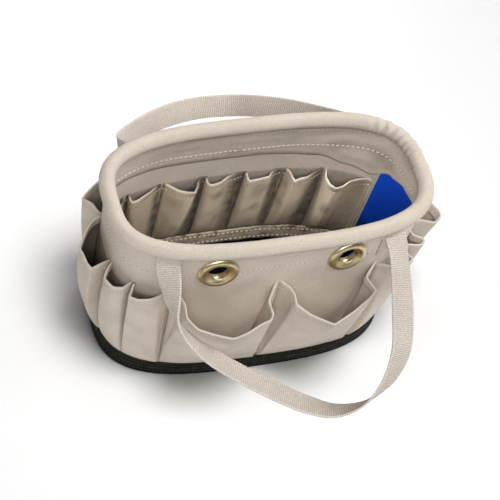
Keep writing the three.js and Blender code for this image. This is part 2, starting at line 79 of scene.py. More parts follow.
def makeCamera(look):
    turn, tilt = radians(look["turn"]), radians(look["tilt"])
    back = skyward(look["turn"], look["rise"])
    level = Vector((cos(turn), sin(turn), 0))
    upright = back.cross(level)
    right = level * cos(tilt) + upright * sin(tilt)
    up = upright * cos(tilt) - level * sin(tilt)
    place = (Vector(look["aim"]) + back * look["away"]) * mm
    data = bpy.data.cameras.new("photoCamera")
    data.lens = look["lens"]
    data.sensor_width = look["sensor"]
    data.shift_x, data.shift_y = look["shift"]
    data.clip_end = look["reach"]
    camera = bpy.data.objects.new("photoCamera", data)
    camera.matrix_world = Matrix.Translation(place) @ Matrix((right, up, back)).transposed().to_4x4()
    bpy.context.scene.collection.objects.link(camera)
    bpy.context.scene.camera = camera


makeCamera(cameraLook)
print("camera placed")

# the bag's oval: places round it are millimetres along the girth from the front middle
bag = {
    "power": 3.1,  # how square the oval is
    "footLong": 160.7,
    "footWide": 84.3,
    "footHigh": 22.0,
    "rimLong": 171.0,
    "rimWide": 79.0,
    "rimHigh": 220.0,
    "girthLong": 166.7,
    "girthWide": 82.5,
    "cloth": 2.0,
}


def signedPower(value, exponent):
    return copysign(abs(value) ** exponent, value)


def ovalSpot(long, wide, angle):
    exponent = 2 / bag["power"]
    return long * signedPower(cos(angle), exponent), wide * signedPower(sin(angle), exponent)


def ovalOut(long, wide, x, y):
    exponent = bag["power"] - 1
    return Vector((signedPower(x / long, exponent) / long, signedPower(y / wide, exponent) / wide, 0)).normalized()


# lengths along a row of points, and the step of it that a length falls in
def lengthsAlong(points):
    lengths = [0.0]
    for here, ahead in zip(points, points[1:]):
        lengths.append(lengths[-1] + (ahead - here).length)
    return lengths


def stepAt(lengths, wanted):
    step = min(max(bisect.bisect_left(lengths, wanted), 1), len(lengths) - 1)
    return step, (wanted - lengths[step - 1]) / max(lengths[step] - lengths[step - 1], 1e-9)


girthSteps = 1440


def girthAngle(step):
    return 2 * pi * step / girthSteps - pi / 2


def girthSpot(step):
    return Vector(ovalSpot(bag["girthLong"], bag["girthWide"], girthAngle(step)))


girthRun = lengthsAlong([girthSpot(step) for step in range(girthSteps + 1)])
girth = girthRun[-1]
backMiddle = girth / 2


def angleAt(along):
    step, part = stepAt(girthRun, along % girth)
    return girthAngle(step - 1 + part)


def mix(a, b, part):
    return a + (b - a) * part


def evenParts(count):
    return [k / count for k in range(count + 1)]


def ease(part):
    part = min(max(part, 0.0), 1.0)
    return part * part * (3 - 2 * part)


def wallSpot(along, high, out):
    part = (high - bag["footHigh"]) / (bag["rimHigh"] - bag["footHigh"])
    long = mix(bag["footLong"], bag["rimLong"], part)
    wide = mix(bag["footWide"], bag["rimWide"], part)
    x, y = ovalSpot(long, wide, angleAt(along))
    away = ovalOut(long, wide, x, y)
    return Vector((x + away.x * out, y + away.y * out, high)) * mm


def wallOut(along):
    long, wide = bag["girthLong"], bag["girthWide"]
    return ovalOut(long, wide, *ovalSpot(long, wide, angleAt(along)))


# noise: each row of ripples has how far, how wide in mm, seed
seedShift = (7.3, 3.1, 5.7)


def ripple(spot, size, seed):
    return noise.noise(spot / (size * mm) + Vector([seed * shift for shift in seedShift]))


def ripples(spot, rows):
    return sum(far * ripple(spot, size, seed) for far, size, seed in rows)


# random darker blotches
def darkBlotches(spot, dark, contrast, size, seed):
    return dark * ease(contrast * ripple(spot, size, seed))


# smooth runs through short tables of rows
curvePieces = 24


def smoothRun(rows, slack=1.0):
    rows = [Vector(row) for row in rows]
    gaps = [ahead - here for here, ahead in zip(rows, rows[1:])]
    knots = [sqrt(max(Vector(gap[:3]).length, 1e-6)) for gap in gaps]
    slopes = [gaps[0] / knots[0]]
    for k in range(1, len(gaps)):
        before, after = knots[k - 1], knots[k]
        over = (rows[k + 1] - rows[k - 1]) / (before + after)
        slopes.append((gaps[k - 1] / before - over + gaps[k] / after) * slack)
    slopes.append(gaps[-1] / knots[-1])
    run = []
    for k, knot in enumerate(knots):
        for t in (piece / curvePieces for piece in range(curvePieces)):
            start, end = 2 * t ** 3 - 3 * t ** 2 + 1, 3 * t ** 2 - 2 * t ** 3
            leave, reach = (t ** 3 - 2 * t ** 2 + t) * knot, (t ** 3 - t ** 2) * knot
            run.append(rows[k] * start + slopes[k] * leave + rows[k + 1] * end + slopes[k + 1] * reach)
    return run + [rows[-1]]


def evenRun(run, count, measure):
    lengths = lengthsAlong([Vector(row[:measure]) for row in run])
    even = []
    for k in range(count + 1):
        step, part = stepAt(lengths, lengths[-1] * k / count)
        even.append(run[step - 1].lerp(run[step], part))
    return even, lengths[-1]


# materials
def feed(tree, node, values):
    for key, value in values.items():
        socket = node.inputs[key]
        if isinstance(value, bpy.types.NodeSocket):
            tree.links.new(value, socket)
        else:
            socket.default_value = (*value, 1) if isinstance(value, tuple) else value


def addNode(tree, kind, values, output=0, **settings):
    node = tree.nodes.new("ShaderNode" + kind)
    for key, value in settings.items():
        setattr(node, key, value)
    feed(tree, node, values)
    return node.outputs[output]


def mathNode(tree, operation, first, second=0.0):
    return addNode(tree, "Math", {0: first, 1: second}, operation=operation)


def mixColour(tree, factor, first, second, blend="MIX"):
    return addNode(tree, "Mix", {0: factor, 6: first, 7: second}, 2, data_type="RGBA", blend_type=blend)


def newMaterial(name):
    material = bpy.data.materials.new(name)
    material.use_nodes = True
    tree = material.node_tree
    return material, tree, tree.nodes["Principled BSDF"]


def objectPlace(tree):
    return addNode(tree, "TexCoord", {}, "Object")


def attributeOut(tree, name):
    return addNode(tree, "Attribute", {}, "Fac", attribute_name=name)


def noiseOut(tree, place, scale, detail, rough=0.6):
    return addNode(tree, "TexNoise", {"Vector": place, "Scale": scale, "Detail": detail, "Roughness": rough}, "Fac")


def remap(tree, value, low, high, toLow, toHigh):
    return addNode(tree, "MapRange", dict(enumerate((value, low, high, toLow, toHigh))))


def noiseBand(tree, place, band):
    scale, detail, *limits = band
    return remap(tree, noiseOut(tree, place, scale, detail), *limits)


def bumpOut(tree, height, look):
    return addNode(tree, "Bump", {"Strength": look["bump"], "Distance": look["relief"] * mm, "Height": height})


canvasLook = {  # a noise band has scale, detail, the range that is read and the range that it gives
    "colour": (0.645, 0.570, 0.490),
    "shade": (0.585, 0.505, 0.420),
    # lighter tone for wear and painted highlights on lips, folds and edges
    "rubbed": (0.790, 0.730, 0.655),
    # brown for painted shade in hollows, valleys and under the rim, and for the frayed hem edge
    "crease": (0.230, 0.165, 0.105),
    "fleck": (0.230, 0.165, 0.105),
    "cloud": (24, 4, 0.35, 0.68, 0.0, 0.7),
    "uneven": (90, 4, 0.3, 0.7, 0.6, 1.0),
    "flecks": (380, 1, 0.745, 0.79, 0.0, 0.5),
    "grain": (620, 3, 0.7),  # scale, detail, roughness
    "grainPart": 1.4,
    "twill": 2.7,  # mm along the cloth from one slanting rib to the next
    "yarn": 0.95,
    "weaveParts": (0.6, 0.4),  # of twill, of yarn
    "rib": 0.0,  # mm from one crosswise rib to the next, on webbing
    "ribWeave": 0.25,  # how much of the weave shows on the ribs
    "zigzag": (6.3, 1.1),  # mm across, how far
    "relief": 0.22,
    "bump": 0.7,
    "contrast": 0.12,
    "weaveTone": (-0.8, 0.8, 0.6),  # range that is read, how much of the contrast lightens
    "grainTone": (0.3, 0.7, 0.8),
    "roughness": 0.92,
    "sheen": 0.10,
    "sheenRoughness": 0.5,
    "gloss": 0.2,
}
shadedLook = dict(canvasLook, colour=(0.230, 0.170, 0.110), shade=(0.180, 0.130, 0.080))
facingLook = dict(canvasLook, colour=(0.630, 0.560, 0.480), shade=(0.550, 0.475, 0.395))
liningLook = dict(
    canvasLook,
    colour=(0.615, 0.535, 0.430),
    shade=(0.520, 0.435, 0.330),
    rubbed=(0.800, 0.740, 0.655),
    crease=(0.075, 0.056, 0.034),
)
# painted light: a lighter, warmer copy of the canvas for the wall's inside face
litWallInsideLook = dict(liningLook, colour=(0.690, 0.620, 0.535), shade=(0.590, 0.520, 0.430))
webbingLook = dict(
    canvasLook,
    colour=(0.675, 0.605, 0.530),
    shade=(0.605, 0.530, 0.450),
    rubbed=(0.800, 0.745, 0.670),
    rib=2.3,
    relief=0.5,
    contrast=0.21,
)
blueLook = dict(
    canvasLook,
    colour=(0.0090, 0.0960, 0.840),
    shade=(0.0080, 0.0850, 0.740),
    rubbed=(0.0110, 0.1100, 0.880),
    crease=(0.0020, 0.0080, 0.050),
    fleck=(0.0045, 0.0480, 0.430),
    twill=1.8,
    relief=0.10,
    contrast=0.05,
    roughness=0.85,
    sheen=0.0,
    gloss=0.06,
)


def clothMaterial(name, look):
    material, tree, shader = newMaterial(name)
    uv = addNode(tree, "UVMap", {}, uv_map="cloth")
    across, up = (addNode(tree, "SeparateXYZ", {0: uv}, axis) for axis in (0, 1))
    place = objectPlace(tree)

    def add(first, second):
        return mathNode(tree, "ADD", first, second)

    def times(first, second):
        return mathNode(tree, "MULTIPLY", first, second)

    def wave(value, pitch, shift=0.0):
        return mathNode(tree, "SINE", add(times(value, 2 * pi / (pitch * mm)), shift))

    def toned(value, tone):
        low, high, lift = tone
        return remap(tree, value, low, high, 1 - look["contrast"], 1 + look["contrast"] * lift)

    twillPart, yarnPart = look["weaveParts"]
    yarns = times(wave(across, look["yarn"]), wave(up, look["yarn"]))
    weave = add(times(wave(add(across, up), look["twill"]), twillPart), times(yarns, yarnPart))
    if look["rib"]:  # the ribs zigzag a little over the webbing's width
        pitch, far = look["zigzag"]
        weave = add(times(weave, look["ribWeave"]), wave(across, look["rib"], times(wave(up, pitch), far)))
    grain = noiseOut(tree, place, *look["grain"])
    # painted shade and the frayed edge's brown, made uneven by noise
    sunk = times(attributeOut(tree, "crease"), noiseBand(tree, place, look["uneven"]))
    cloud, flecks = (noiseBand(tree, place, look[band]) for band in ("cloud", "flecks"))
    # lips, folds and edges are lightened: wear and painted highlight
    rubbed = attributeOut(tree, "rubbed")
    tone = look["colour"]
    for part, colour in ((cloud, "shade"), (rubbed, "rubbed"), (sunk, "crease"), (flecks, "fleck")):
        tone = mixColour(tree, part, tone, look[colour])
    light = times(toned(weave, look["weaveTone"]), toned(grain, look["grainTone"]))
    grey = addNode(tree, "CombineColor", {0: light, 1: light, 2: light})
    feed(tree, shader, {
        "Base Color": mixColour(tree, 1.0, tone, grey, "MULTIPLY"),
        "Normal": bumpOut(tree, add(weave, times(grain, look["grainPart"])), look),
        "Roughness": look["roughness"],
        "Sheen Weight": look["sheen"],
        "Sheen Roughness": look["sheenRoughness"],
        "Specular IOR Level": look["gloss"],
    })
    return material


threadLook = {
    "colour": (0.780, 0.730, 0.660),
    "shade": (0.600, 0.535, 0.455),
    "twist": (1400, 2),  # noise scale, detail
    "strands": (0.35, 0.65, 0, 1),
    "relief": 0.1,
    "bump": 0.5,
    "roughness": 0.7,
}
brownThreadLook = dict(threadLook, colour=(0.230, 0.170, 0.095), shade=(0.120, 0.085, 0.050))
darkThreadLook = dict(threadLook, colour=(0.045, 0.046, 0.036), shade=(0.012, 0.012, 0.009))


def threadMaterial(name, look):
    material, tree, shader = newMaterial(name)
    twist = noiseOut(tree, objectPlace(tree), *look["twist"])
    feed(tree, shader, {
        "Base Color": mixColour(tree, remap(tree, twist, *look["strands"]), look["colour"], look["shade"]),
        "Normal": bumpOut(tree, twist, look),
        "Roughness": look["roughness"],
    })
    return material


coatedLook = {
    "colour": (0.0065, 0.0075, 0.0048),
    "scuff": (0.014, 0.015, 0.010),
    # lighter tone of the tier ridges: wear and painted highlight
    "ridge": (0.052, 0.054, 0.042),
    "cloud": (40, 5),  # noise scale, detail
    "scuffs": (0.5, 0.75, 0, 0.8),
    "uneven": (160, 3, 0.35, 0.65, 0.25, 1.0),
    "pebble": 900,
    "roughness": (0.3, 0.7, 0.56, 0.72),
    "gloss": 0.05,
    "relief": 0.15,
    "bump": 0.4,
}
# painted shade: the navy floor liner is coloured near black as in deep shade, with random navy patches
floorLook = dict(
    coatedLook,
    colour=(0.004, 0.005, 0.007),
    scuff=(0.010, 0.022, 0.085),
    roughness=(0.3, 0.7, 0.55, 0.75),
    relief=0.1,
)


def coatedMaterial(name, look):
    material, tree, shader = newMaterial(name)
    place = objectPlace(tree)
    cloud = noiseOut(tree, place, *look["cloud"])
    tone = mixColour(tree, remap(tree, cloud, *look["scuffs"]), look["colour"], look["scuff"])
    # tier ridges lightened: wear and painted highlight, made uneven
    worn = mathNode(tree, "MULTIPLY", attributeOut(tree, "rubbed"), noiseBand(tree, place, look["uneven"]))
    pebble = addNode(tree, "TexVoronoi", {"Scale": look["pebble"], "Vector": place}, "Distance")
    feed(tree, shader, {
        "Base Color": mixColour(tree, worn, tone, look["ridge"]),
        "Normal": bumpOut(tree, pebble, look),
        "Roughness": remap(tree, cloud, *look["roughness"]),
        "Specular IOR Level": look["gloss"],
    })
    return material


brassLook = {
    "colour": (0.720, 0.610, 0.370),
    "worn": (0.610, 0.490, 0.260),
    "cloud": (120, 4, 0.4, 0.7, 0.0, 0.6),
    "roughness": (300, 3, 0.3, 0.7, 0.27, 0.38),
}


def brassMaterial(name, look):
    material, tree, shader = newMaterial(name)
    place = objectPlace(tree)
    feed(tree, shader, {
        "Base Color": mixColour(tree, noiseBand(tree, place, look["cloud"]), look["colour"], look["worn"]),
        "Roughness": noiseBand(tree, place, look["roughness"]),
        "Metallic": 1.0,
    })
    return material


canvas = clothMaterial("naturalCanvas", canvasLook)
shadedCanvas = clothMaterial("shadedCanvas", shadedLook)
lining = clothMaterial("innerCanvas", liningLook)
wallLining = clothMaterial("wallLining", litWallInsideLook)
facing = clothMaterial("facingCanvas", facingLook)
webbing = clothMaterial("ribbedWebbing", webbingLook)
blueCloth = clothMaterial("blueLining", blueLook)
thread = threadMaterial("cottonThread", threadLook)
darkThread = threadMaterial("darkThread", darkThreadLook)
brownThread = threadMaterial("brownThread", brownThreadLook)
coated = coatedMaterial("coatedBase", coatedLook)
darkFloor = coatedMaterial("darkFloor", floorLook)
brass = brassMaterial("brass", brassLook)
print("materials made")


# pieces
pieces = []


def newObject(name, mesh, material):
    data = bpy.data.meshes.new(name)
    mesh.to_mesh(data)
    mesh.free()
    data.materials.append(material)
    thing = bpy.data.objects.new(name, data)
    bpy.context.scene.collection.objects.link(thing)
    return thing


def finishPiece(name, mesh, material, nodes=(), thick=0.0, inner=None):
    piece = newObject(name, mesh, material)
    piece.data.shade_smooth()
    if thick:
        wall = piece.modifiers.new("clothThickness", "SOLIDIFY")
        wall.thickness = thick * mm
        wall.offset = -1
        if inner:
            piece.data.materials.append(inner)
            wall.material_offset = 1
    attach(piece, "root")
    if nodes:
        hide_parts(*nodes)
    pieces.append(piece)
    return piece


# worn gives each point its wear and painted highlight, sunk its darkening, mostly painted shade
def clothGrid(columns, rows, spot, span, worn=None, sunk=None):
    mesh = bmesh.new()
    bmesh.ops.create_grid(mesh, x_segments=columns, y_segments=rows, size=0.5)
    cloth = mesh.loops.layers.uv.new("cloth")
    rubbed = mesh.verts.layers.float.new("rubbed")
    crease = mesh.verts.layers.float.new("crease")
    for face in mesh.faces:
        for loop in face.loops:
            loop[cloth].uv = ((loop.vert.co.x + 0.5) * span[0] * mm, (loop.vert.co.y + 0.5) * span[1] * mm)
    for vert in mesh.verts:
        i, j = round((vert.co.x + 0.5) * columns), round((vert.co.y + 0.5) * rows)
        vert[rubbed] = worn(i, j) if worn else 0.0
        vert[crease] = sunk(i, j) if sunk else 0.0
        vert.co = spot(i, j)
    bmesh.ops.remove_doubles(mesh, verts=mesh.verts[:], dist=tiny)
    return mesh


# these rows at a piece's edges get wear and painted highlight
def wearAndHighlightRows(look, *rows):
    return lambda i, j: look["rubbed"] if j in rows else 0.0


ball = {"around": 8, "rings": 5, "few": 40}  # each stitch is a stretched ball, made a few at a time


def stitchRow(name, spots, look, material):
    mesh = bmesh.new()
    some = bpy.data.meshes.new(name + "Some")
    lean = radians(look.get("lean", 0))
    size = Matrix.Diagonal([look[key] / 2 * mm for key in ("long", "thick", "thick")]).to_4x4()
    for first in range(0, len(spots), ball["few"]):
        few = bmesh.new()
        for place, direction, away in spots[first:first + ball["few"]]:
            side = away.cross(direction).normalized()
            away = direction.cross(side).normalized()
            ahead = direction * cos(lean) + side * sin(lean)
            turn = Matrix((ahead, away.cross(ahead), away)).transposed().to_4x4()
            where = Matrix.Translation(place + away * look["proud"] * mm) @ turn @ size
            sides = {"u_segments": ball["around"], "v_segments": ball["rings"]}
            bmesh.ops.create_uvsphere(few, radius=1.0, matrix=where, **sides)
        few.to_mesh(some)
        few.free()
        mesh.from_mesh(some)
    bpy.data.meshes.remove(some)
    finishPiece(name, mesh, material)


def spotsAlong(points, aways, pitch, shift=0.5):
    lengths = lengthsAlong(points)
    spots = []
    for k in range(int(lengths[-1] / (pitch * mm))):
        step, part = stepAt(lengths, (k + shift) * pitch * mm)
        direction = points[step] - points[step - 1]
        if direction.length > tiny / 10:
            spots.append((points[step - 1].lerp(points[step], part), direction.normalized(), aways[step].copy()))
    return spots


hemStitch = {"long": 3.0, "thick": 0.85, "proud": 0.12, "pitch": 4.2}
lapStitch = dict(hemStitch, long=2.4, pitch=3.4)
bandStitch = {"long": 4.4, "thick": 1.45, "proud": 0.3, "pitch": 5.6, "lean": 9}
upperStitch = dict(bandStitch, thick=0.9, long=3.4, pitch=5.2)
wallStitch = dict(bandStitch, thick=0.75, long=3.4, proud=0.0)
tapeStitch = dict(bandStitch, thick=1.9, proud=0.5)
darkStitch = {"long": 3.4, "thick": 1.0, "proud": 0.15, "pitch": 4.4}
# needle holes: small dark balls sunk into the cloth paint the shade in the holes
needleHole = {"long": 1.3, "thick": 0.9, "proud": -0.05}


def stitchedLine(name, points, aways, look, keep=None):
    for part, shift, size, material in (("", 0.5, look, thread), ("Holes", 0.0, needleHole, brownThread)):
        spots = spotsAlong(points, aways, look["pitch"], shift)
        stitchRow(name + part, [spot for spot in spots if keep is None or keep(spot[0])], size, material)


# coated base: rows from the bottom's edge up, over the top and down inside
basePan = {
    "long": 164.8,
    "wide": 88.4,
    "steps": 320,
    "band": 60.0,  # length of the rows
    "rows": [  # in from the outside, height, how much wear and painted highlight
        (3.4, 0.0, 0.0), (1.4, 0.35, 0.0), (0.3, 1.4, 0.3), (0.0, 3.0, 0.0), (0.0, 7.5, 0.0),
        (0.3, 10.0, 0.3), (0.8, 11.0, 0.9), (1.7, 11.5, 0.3), (2.1, 11.9, 0.0), (1.7, 12.4, 0.0),
        (0.8, 12.9, 0.5), (0.55, 13.8, 0.2), (0.6, 17.0, 0.0), (0.75, 20.2, 0.2), (1.1, 21.6, 0.9),
        (1.6, 22.2, 0.9), (2.3, 22.1, 0.3), (2.9, 21.3, 0.0), (3.3, 16.0, 0.0), (3.0, 3.0, 0.0),
    ],
    "stitchHeights": (7.4, 17.2),
    "stitchSteps": 720,
}


def makeBase(look):
    rows = look["rows"]

    def ringSpot(inset, part):
        return ovalSpot(look["long"] - inset, look["wide"] - inset, 2 * pi * part)

    def spot(i, j):
        inset, high = rows[j][:2]
        return Vector((*ringSpot(inset, i / look["steps"]), high)) * mm

    mesh = clothGrid(look["steps"], len(rows) - 1, spot, (girth, look["band"]), lambda i, j: rows[j][2])
    rims = [edge for edge in mesh.edges if edge.is_boundary]
    bmesh.ops.holes_fill(mesh, edges=rims, sides=0)
    finishPiece("baseTray", mesh, coated, ("base_tray",))
    spots = []
    for high in look["stitchHeights"]:
        inset = next(row[0] for row in rows if row[1] >= high)
        ring = [ringSpot(inset, part) for part in evenParts(look["stitchSteps"])]
        aways = [ovalOut(look["long"], look["wide"], x, y) for x, y in ring]
        spots += spotsAlong([Vector((x, y, high)) * mm for x, y in ring], aways, darkStitch["pitch"])
    stitchRow("baseStitches", spots, darkStitch, darkThread)


makeBase(basePan)

floorPad = {"long": 157.2, "wide": 82.3, "top": 4.8, "thick": 1.4, "segments": 200}


def makeFloorPad(look):
    mesh = bmesh.new()
    bmesh.ops.create_circle(mesh, cap_ends=True, segments=look["segments"], radius=1.0)
    for vert in mesh.verts:
        x, y = ovalSpot(look["long"], look["wide"], atan2(vert.co.y, vert.co.x))
        vert.co = Vector((x, y, look["top"])) * mm
    finishPiece("floorPad", mesh, darkFloor, ("floor_liner",), look["thick"])


makeFloorPad(floorPad)
print("base made")


# canvas wall; a stretch of painted shade has from, to, top, how softly it ends there, how dark
grommet = {"along": 70.0, "high": 186.0, "hole": 12.6, "clear": 24.0, "clearInside": 19.0}
wallLook = {
    "columns": 330,
    "rows": 80,
    "low": 4.0,
    "top": 214.0,
    "sunk": 0.2,  # in from the oval
    "ripples": [(1.1, 70, 1), (0.45, 24, 2)],
    "still": (30, 60, 215, 40),  # the ripples begin here, in full after, end here, fading over
    "paintedShade": (-252.0, -113.0, 144.0, 11.0, 0.95),  # painted shade behind the left end pockets
    "hollow": (-214.0, 166.0, 135.0, 4.0, 0.5),  # painted shade behind the inside pockets, from the back middle
    "underRim": (204.0, 8.0, 0.75),  # painted shade just under the rim: from, in full after, how dark
}
stretchFade = 3.0


def nearGrommet(spot, radius):
    middles = [wallSpot(along, grommet["high"], 0) for along in (-grommet["along"], grommet["along"])]
    return any((spot - middle).length < radius * mm for middle in middles)


def dropHoles(mesh, radius):
    gone = [face for face in mesh.faces if any(nearGrommet(vert.co, radius) for vert in face.verts)]
    bmesh.ops.delete(mesh, geom=gone, context="FACES")


def wallWave(along, high):
    low, lowFade, top, topFade = wallLook["still"]
    fade = ease((high - low) / lowFade) * ease((top - high) / topFade)
    return fade * ripples(wallSpot(along, high, 0), wallLook["ripples"])


def outerSpot(along, high):
    return wallSpot(along, high, wallWave(along, high) - wallLook["sunk"])


def liningSpot(along, high, inside):
    return wallSpot(along, high, wallWave(along, high) - bag["cloth"] - inside)


def shaded(along, high, stretch):
    first, last, top, soft, dark = stretch
    sides = ease((along - first) / stretchFade) * ease((last - along) / stretchFade)
    return dark * sides * ease((top - high) / soft)


# painted shade just under the rim
def underRim(high, band):
    low, soft, dark = band
    return dark * ease((high - low) / soft)


def makeWall(look):
    def place(i, j):
        return girth * i / look["columns"] - backMiddle, mix(look["low"], look["top"], j / look["rows"])

    # painted shade behind pockets and under the rim
    def sunk(i, j):
        along, high = place(i, j)
        inner = copysign(backMiddle, along) - along
        paintedShade = max(shaded(along, high, look["paintedShade"]), shaded(inner, high, look["hollow"]))
        return max(paintedShade, underRim(high, look["underRim"]))

    span = (girth, look["top"] - look["low"])
    mesh = clothGrid(look["columns"], look["rows"], lambda i, j: outerSpot(*place(i, j)), span, None, sunk)
    dropHoles(mesh, grommet["hole"])
    finishPiece("canvasWall", mesh, canvas, ("body_wall",), bag["cloth"], wallLining)


makeWall(wallLook)

# hem band inside, under the rim: heights go by degrees round the oval from +X
hemLook = {
    "columns": 330,
    "rows": 22,
    "top": 213.0,
    "edge": [
        (-90, 163), (-40, 176), (-8, 181), (14, 163), (33, 143), (50, 147),
        (68, 159), (90, 166), (120, 167), (200, 168), (255, 166), (270, 163),
    ],
    "thick": 0.9,
    "inside": 1.1,  # in from the wall
    "band": 50.0,
    "ripples": [(1.1, 46, 5), (0.4, 17, 6)],
    "stretch": 3.0,  # the ripples are this much longer than high
    "still": 12.0,  # mm above the edge that lie flatter
    "rubbed": 0.6,
    "frayed": (7.0, 4.0, 0.7),  # mm above the edge, how softly it ends, how dark
    "frayedFrom": (0.9, 0.35, 0.25),  # radians round, in full after, how much before
    "darkBlotch": (0.5, 1.6, 38, 14),  # painted shade of soft wrinkles, in random blotches: how dark, contrast, how wide, seed
    "darkBlotchStretch": 1.6,
    "darkBlotchFrom": 8.0,
    # painted shade just under the rim
    "underRim": (204.0, 6.0, 0.5),
    "stitch": [
        (-90, 187), (-60, 182), (-20, 190), (20, 183), (60, 178), (120, 180), (200, 181), (255, 176), (270, 187),
    ],
    "stitchSteps": 700,
    "upperStitch": 206.0,
    "outerDrop": 1.0,
    "behindHandle": (123.0, 16.0),  # no stitches show: x, half width
}


def heightRound(rows, along):
    turn = (degrees(angleAt(along)) + 90) % 360 - 90
    for (start, low), (end, high) in zip(rows, rows[1:]):
        if turn <= end:
            return mix(low, high, ease((turn - start) / (end - start)))
    return rows[-1][1]


def hemEdge(along):
    return heightRound(hemLook["edge"], along)


def hemSpot(along, high):
    base = wallSpot(along, high, 0)
    lift = ripples(Vector((base.x, base.y, base.z * hemLook["stretch"])), hemLook["ripples"])
    lift *= ease((high - hemEdge(along)) / hemLook["still"])
    return liningSpot(along, high, hemLook["inside"] + lift)


def makeHem(look):
    def place(i, j):
        along = backMiddle - girth * i / look["columns"]
        return along, mix(hemEdge(along), look["top"], j / look["rows"])

    # painted shade under the rim and in soft blotches; the brown of the frayed lower edge
    def sunk(i, j):
        along, high = place(i, j)
        above = high - hemEdge(along)
        tall, soft, dark = look["frayed"]
        start, over, least = look["frayedFrom"]
        frayed = dark * ease((tall - above) / soft) * mix(least, 1, ease((angleAt(along) - start) / over))
        darkBlotch = darkBlotches(wallSpot(along, high * look["darkBlotchStretch"], 0), *look["darkBlotch"])
        return max(frayed, underRim(high, look["underRim"]), darkBlotch * ease(above / look["darkBlotchFrom"]))

    def spot(i, j):
        return hemSpot(*place(i, j))

    mesh = clothGrid(look["columns"], look["rows"], spot, (girth, look["band"]), wearAndHighlightRows(look, 0), sunk)
    dropHoles(mesh, grommet["hole"] + 1)
    finishPiece("hemBand", mesh, facing, ("hem_band",), look["thick"])
    alongs = [backMiddle - girth * part for part in evenParts(look["stitchSteps"])]
    aways = [-wallOut(along) for along in alongs]
    points = [hemSpot(along, heightRound(look["stitch"], along)) for along in alongs]
    stitchedLine("hemStitches", points, aways, bandStitch, lambda spot: not nearGrommet(spot, grommet["clearInside"]))
    points = [hemSpot(along, look["upperStitch"]) for along in alongs]
    spots = spotsAlong(points, aways, upperStitch["pitch"])
    spots = [spot for spot in spots if min(spot[0].xy) > 0]  # at the right back only
    stitchRow("upperHemStitches", spots, upperStitch, thread)
    alongs.reverse()
    aways = [wallOut(along) for along in alongs]
    points = [outerSpot(along, heightRound(look["stitch"], along) - look["outerDrop"]) for along in alongs]

    def seen(spot):
        middle, half = look["behindHandle"]
        return not nearGrommet(spot, grommet["clear"]) and abs(abs(spot.x) - middle * mm) > half * mm

    stitchedLine("wallStitches", points, aways, wallStitch, seen)


makeHem(hemLook)

# rim: canvas sewn round a thick cord, lapped at the right end, puckered where it turns the corner behind it
rimLook = {
    "long": 170.0,
    "wide": 78.0,
    "high": 220.0,
    "radius": 8.5,
    "columns": 560,
    "rows": 32,
    "ripples": [(0.30, 26, 8), (0.16, 9, 9)],
    "lap": 213.0,
    "lapRise": (0.6, 1.0, 60.0, 50.0),  # how far, over, back to here, fading over
    "lapStitch": 3.5,  # mm before the lap
    "pucker": (222.0, 305.0, 10.5, 1.15),  # from, to, pitch, height
    "puckerFade": (12.0, 25.0),
    "puckerSide": (135.0, 0.35),  # degrees round the cord, how much elsewhere
    "puckerDrift": (4.0, 20, 10),
}


def rimSpot(along, turn):
    look = rimLook
    x, y = ovalSpot(look["long"], look["wide"], angleAt(along))
    away = ovalOut(look["long"], look["wide"], x, y)
    middle = Vector((x, y, look["high"])) * mm
    ahead = away * cos(turn) + Vector((0, 0, sin(turn)))
    plain = middle + ahead * look["radius"] * mm
    far, over, reach, fade = look["lapRise"]
    lap = far * ease((look["lap"] - along) / over) * ease((along - look["lap"] + reach) / fade)
    first, last, pitch, tall = look["pucker"]
    side, least = look["puckerSide"]
    window = ease((along - first) / look["puckerFade"][0]) * ease((last - along) / look["puckerFade"][1])
    inside = mix(least, 1, max(0.0, cos(turn - radians(side))))
    drift = along + ripples(plain, [look["puckerDrift"]])
    pucker = tall * window * inside * sin(2 * pi * drift / pitch)
    radius = look["radius"] + ripples(plain, look["ripples"]) + lap + pucker
    return middle + ahead * radius * mm, ahead


def makeRim(look):
    def spot(i, j):
        along = girth * i / look["columns"] - backMiddle
        return rimSpot(along, 2 * pi * j / look["rows"] - pi / 2)[0]

    mesh = clothGrid(look["columns"], look["rows"], spot, (girth, 2 * pi * look["radius"]))
    finishPiece("rimRoll", mesh, canvas, ("rim_roll",))
    turns = [radians(turn) for turn in range(190, -10, -2)]  # over the top, from inside
    points, aways = zip(*(rimSpot(look["lap"] - look["lapStitch"], turn) for turn in turns))
    stitchRow("lapStitches", spotsAlong(points, aways, lapStitch["pitch"]), lapStitch, thread)


makeRim(rimLook)
print("wall, hem and rim made")

